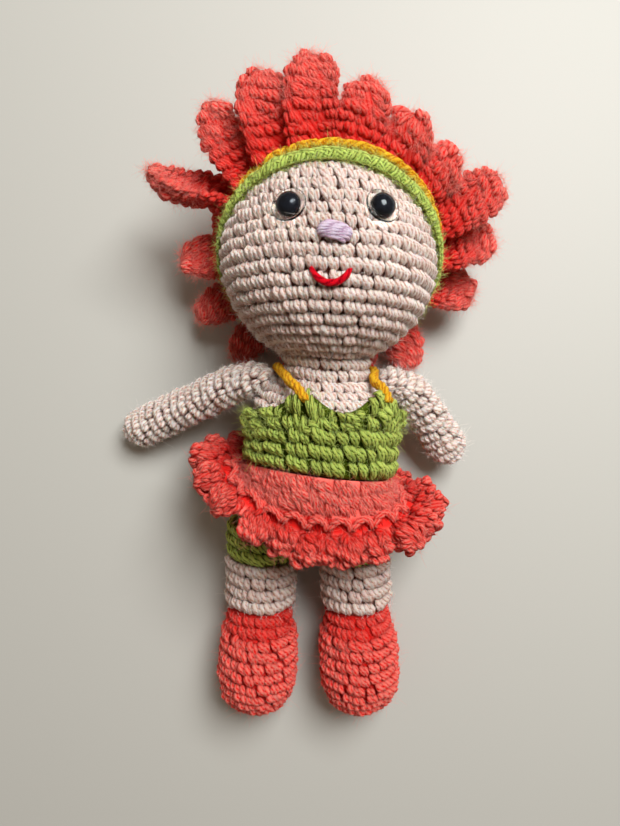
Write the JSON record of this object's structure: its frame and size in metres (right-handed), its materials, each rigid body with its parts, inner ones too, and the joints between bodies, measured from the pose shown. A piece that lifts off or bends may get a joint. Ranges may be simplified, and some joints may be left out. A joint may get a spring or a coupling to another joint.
{
  "type": "crocheted doll",
  "caption": "Crocheted doll lying on its back, with safety eyes, a petal bonnet, a bodice with a halter strap, a frilled skirt and boots.",
  "frame": {"origin": "middle of the doll's outline seen from above, at the height of the table it lies on", "axes": "+Y from the feet to the head, +Z from the back to the face, +X to the right as seen from the front"},
  "size_m": [0.1609, 0.2631, 0.0883],
  "materials": {
    "skin_yarn": "matt",
    "coral_yarn": "matt",
    "green_yarn": "matt",
    "yellow_yarn": "matt",
    "lilac_yarn": "satin",
    "red_yarn": "matt",
    "polyester_fill": "matt",
    "clear_plastic": "polished",
    "black_plastic": "polished",
    "washer_plastic": "matt"
  },
  "bodies": {
    "torso": {"chest_shell": "skin_yarn", "pants": "green_yarn", "torso_stuffing": "polyester_fill", "bodice": "green_yarn", "halter_strap": "yellow_yarn", "skirt": "coral_yarn"},
    "head": {"head_shell": "skin_yarn", "head_stuffing": "polyester_fill", "eye_left_lens": "clear_plastic", "eye_left_pupil": "black_plastic", "eye_left_washer": "washer_plastic", "eye_right_lens": "clear_plastic", "eye_right_pupil": "black_plastic", "eye_right_washer": "washer_plastic", "nose": "lilac_yarn", "mouth": "red_yarn", "bonnet_band": "green_yarn", "bonnet_yellow_round": "yellow_yarn", "bonnet_cap": "coral_yarn", "petal_01": "coral_yarn", "petal_02": "coral_yarn", "petal_03": "coral_yarn", "petal_04": "coral_yarn", "petal_05": "coral_yarn", "petal_06": "coral_yarn", "petal_07": "coral_yarn", "petal_08": "coral_yarn", "petal_09": "coral_yarn", "petal_10": "coral_yarn", "petal_11": "coral_yarn", "petal_12": "coral_yarn", "petal_13": "coral_yarn", "petal_14": "coral_yarn", "petal_15": "coral_yarn", "petal_16": "coral_yarn", "petal_17": "coral_yarn"},
    "arm_left": {"arm_left": "skin_yarn", "arm_left_stuffing": "polyester_fill"},
    "arm_right": {"arm_right": "skin_yarn", "arm_right_stuffing": "polyester_fill"},
    "leg_left": {"pants_leg_left": "green_yarn", "leg_left": "skin_yarn", "boot_left": "coral_yarn", "leg_left_stuffing": "polyester_fill"},
    "leg_right": {"pants_leg_right": "green_yarn", "leg_right": "skin_yarn", "boot_right": "coral_yarn", "leg_right_stuffing": "polyester_fill"}
  },
  "joints": [
    {"name": "head_turn", "type": "hinge", "parent": "torso", "child": "head", "pos_m": [0.0089, 0.0578, 0.0442], "axis": [0.0349, 0.9994, 0], "range_deg": [-25, 25]},
    {"name": "arm_left_swing", "type": "hinge", "parent": "torso", "child": "arm_left", "pos_m": [-0.0186, 0.0131, 0.0395], "axis": [0, 1, 0], "range_deg": [-10, 65]},
    {"name": "arm_right_swing", "type": "hinge", "parent": "torso", "child": "arm_right", "pos_m": [0.0346, 0.0122, 0.03], "axis": [0, -1, 0], "range_deg": [-10, 65]},
    {"name": "leg_left_lift", "type": "hinge", "parent": "torso", "child": "leg_left", "pos_m": [-0.0184, -0.0516, 0.0232], "axis": [-1, 0, 0], "range_deg": [-5, 25]},
    {"name": "leg_right_lift", "type": "hinge", "parent": "torso", "child": "leg_right", "pos_m": [0.0204, -0.0516, 0.0232], "axis": [-1, 0, 0], "range_deg": [-5, 25]}
  ]
}
